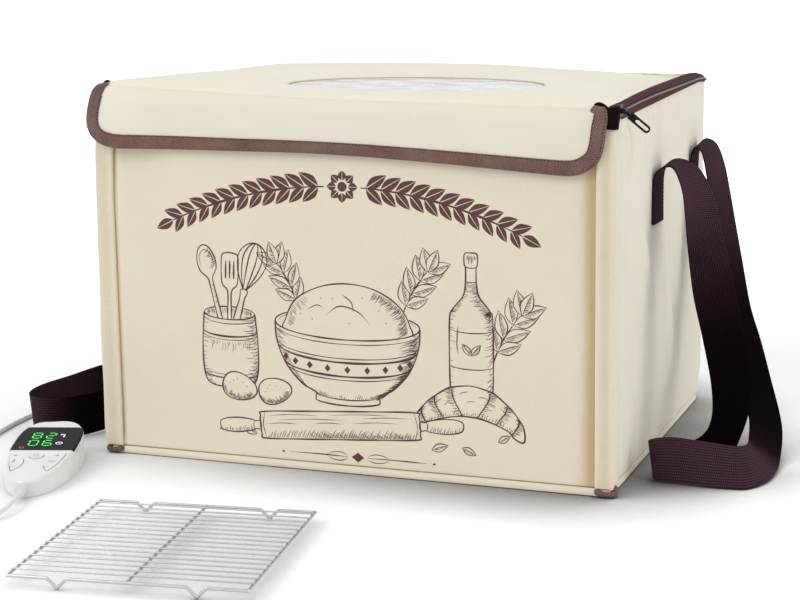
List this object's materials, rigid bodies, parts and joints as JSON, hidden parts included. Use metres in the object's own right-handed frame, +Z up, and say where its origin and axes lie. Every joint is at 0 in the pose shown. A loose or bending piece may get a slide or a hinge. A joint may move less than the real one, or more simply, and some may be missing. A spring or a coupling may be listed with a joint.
{
  "type": "folding dough proofer",
  "caption": "Folding padded fabric dough proofer with heated floor, zipped lid with film window, front flap, carrying straps, wired hand controller and wire rack.",
  "frame": {"origin": "centre of the base's underside, on the floor", "axes": "+Z up, the front with the flap faces -Y, +X is to the right seen from the front"},
  "size_m": [0.6922, 0.785, 0.313],
  "materials": {
    "cream_fabric": "coated woven polyester, matt",
    "twill_binding": "brown herringbone twill tape",
    "webbing": "ribbed plum-brown webbing",
    "zip_tape": "brown zip tape and coil",
    "hook_and_loop": "brown hook and loop tape",
    "lining_foil": "silver-grey laminated lining",
    "foam_board": "foam-faced stiffening board",
    "mat_fabric": "dark grey quilted heating mat",
    "window_film": "clear flexible film",
    "zip_metal": "black lacquered zip hardware",
    "controller_white": "white satin plastic",
    "display_black": "black glossy lens",
    "module_grey": "display module",
    "board_green": "circuit board",
    "screw_steel": "zinc-plated screws",
    "cord_white": "white flexible plastic",
    "rack_chrome": "bright chrome wire"
  },
  "bodies": {
    "base": {"base_cover": "cream_fabric", "base_board": "foam_board", "base_lining": "lining_foil", "heating_mat": "mat_fabric", "mat_lead": "cord_white", "cord_grommet": "cord_white", "rear_cover": "cream_fabric", "rear_board": "foam_board", "rear_lining": "lining_foil", "controller_front_shell": "controller_white", "controller_rear_shell": "controller_white", "display_window": "display_black", "display_module": "module_grey", "circuit_board": "board_green", "controller_screws": "screw_steel", "mains_gland": "cord_white", "cord_boot": "cord_white", "controller_cord": "cord_white"},
    "left_rear_wall": {"left_rear_cover": "cream_fabric", "left_rear_board": "foam_board", "left_rear_lining": "lining_foil", "left_zip_tape": "zip_tape", "left_strap": "webbing"},
    "left_front_wall": {"left_front_cover": "cream_fabric", "left_front_board": "foam_board", "left_front_lining": "lining_foil"},
    "front_wall": {"front_cover": "cream_fabric", "front_board": "foam_board", "front_lining": "lining_foil", "closure_loop_band": "hook_and_loop", "left_corner_strip": "cream_fabric", "right_corner_strip": "cream_fabric"},
    "right_rear_wall": {"right_rear_cover": "cream_fabric", "right_rear_board": "foam_board", "right_rear_lining": "lining_foil", "right_zip_tape": "zip_tape", "right_strap": "webbing"},
    "right_front_wall": {"right_front_cover": "cream_fabric", "right_front_board": "foam_board", "right_front_lining": "lining_foil"},
    "lid": {"lid_cover": "cream_fabric", "lid_board": "foam_board", "lid_lining": "lining_foil", "lid_window": "window_film", "left_lid_zip": "zip_tape", "right_lid_zip": "zip_tape"},
    "flap": {"flap_panel": "cream_fabric", "flap_binding": "twill_binding", "closure_hook_band": "hook_and_loop"},
    "left_slider": {"left_slider": "zip_metal"},
    "right_slider": {"right_slider": "zip_metal"},
    "left_pull": {"left_pull": "zip_metal"},
    "right_pull": {"right_pull": "zip_metal"},
    "power_button": {"power_button": "controller_white"},
    "temperature_rocker": {"temperature_rocker": "controller_white"},
    "timer_rocker": {"timer_rocker": "controller_white"},
    "rack": {"rack_frame": "rack_chrome", "rack_wires": "rack_chrome"}
  },
  "joints": [
    {"name": "left_rear_fold", "type": "hinge", "parent": "base", "child": "left_rear_wall", "pos_m": [-0.208, 0.178, 0], "axis": [0, 0, 1], "range_deg": [0, 85]},
    {"name": "left_crease_fold", "type": "hinge", "parent": "left_rear_wall", "child": "left_front_wall", "pos_m": [-0.22, 0, 0], "axis": [0, 0, 1], "range_deg": [-170, 0], "deforming": ["left_strap", "left_zip_tape"]},
    {"name": "left_front_fold", "type": "hinge", "parent": "left_front_wall", "child": "front_wall", "pos_m": [-0.208, -0.178, 0], "axis": [0, 0, 1], "range_deg": [0, 85]},
    {"name": "right_rear_fold", "type": "hinge", "parent": "base", "child": "right_rear_wall", "pos_m": [0.208, 0.178, 0], "axis": [0, 0, 1], "range_deg": [-85, 0]},
    {"name": "right_crease_fold", "type": "hinge", "parent": "right_rear_wall", "child": "right_front_wall", "pos_m": [0.22, 0, 0], "axis": [0, 0, 1], "range_deg": [0, 170], "deforming": ["right_strap", "right_zip_tape"]},
    {"name": "lid_hinge", "type": "hinge", "parent": "base", "child": "lid", "pos_m": [0, 0.19, 0.3063], "axis": [-1, 0, 0], "range_deg": [0, 110]},
    {"name": "flap_hinge", "type": "hinge", "parent": "lid", "child": "flap", "pos_m": [0, -0.1925, 0.3132], "axis": [-1, 0, 0], "range_deg": [0, 110]},
    {"name": "left_zip_slide", "type": "slide", "parent": "lid", "child": "left_slider", "axis": [0, 1, 0], "range_m": [0, 0.355]},
    {"name": "right_zip_slide", "type": "slide", "parent": "lid", "child": "right_slider", "axis": [0, 1, 0], "range_m": [0, 0.355]},
    {"name": "left_pull_swing", "type": "hinge", "parent": "left_slider", "child": "left_pull", "pos_m": [-0.2268, -0.181, 0.3075], "axis": [0, -1, 0], "range_deg": [-109, 1]},
    {"name": "right_pull_swing", "type": "hinge", "parent": "right_slider", "child": "right_pull", "pos_m": [0.2268, -0.181, 0.3075], "axis": [0, 1, 0], "range_deg": [-63, 47]},
    {"name": "power_press", "type": "slide", "parent": "base", "child": "power_button", "axis": [-0.0296, 0.091, -0.9954], "range_m": [0, 0.0008], "stiffness_N_per_m": 600},
    {"name": "temperature_rock", "type": "hinge", "parent": "base", "child": "temperature_rocker", "pos_m": [-0.2487, -0.30461, 0.01689], "axis": [0.9511, 0.309, 0], "range_deg": [-2, 2], "stiffness_Nm_per_rad": 0.12},
    {"name": "timer_rock", "type": "hinge", "parent": "base", "child": "timer_rocker", "pos_m": [-0.21922, -0.29503, 0.01689], "axis": [0.9511, 0.309, 0], "range_deg": [-2, 2], "stiffness_Nm_per_rad": 0.12},
    {"name": "rack_lift", "type": "slide", "parent": "base", "child": "rack", "axis": [0, 0, 1], "range_m": [0, 0.25]}
  ],
  "couplings": [
    {"joint": "left_crease_fold", "follows": "left_rear_fold", "ratio": -2},
    {"joint": "left_front_fold", "follows": "left_rear_fold", "ratio": 1},
    {"joint": "right_rear_fold", "follows": "left_rear_fold", "ratio": -1},
    {"joint": "right_crease_fold", "follows": "left_rear_fold", "ratio": 2}
  ]
}
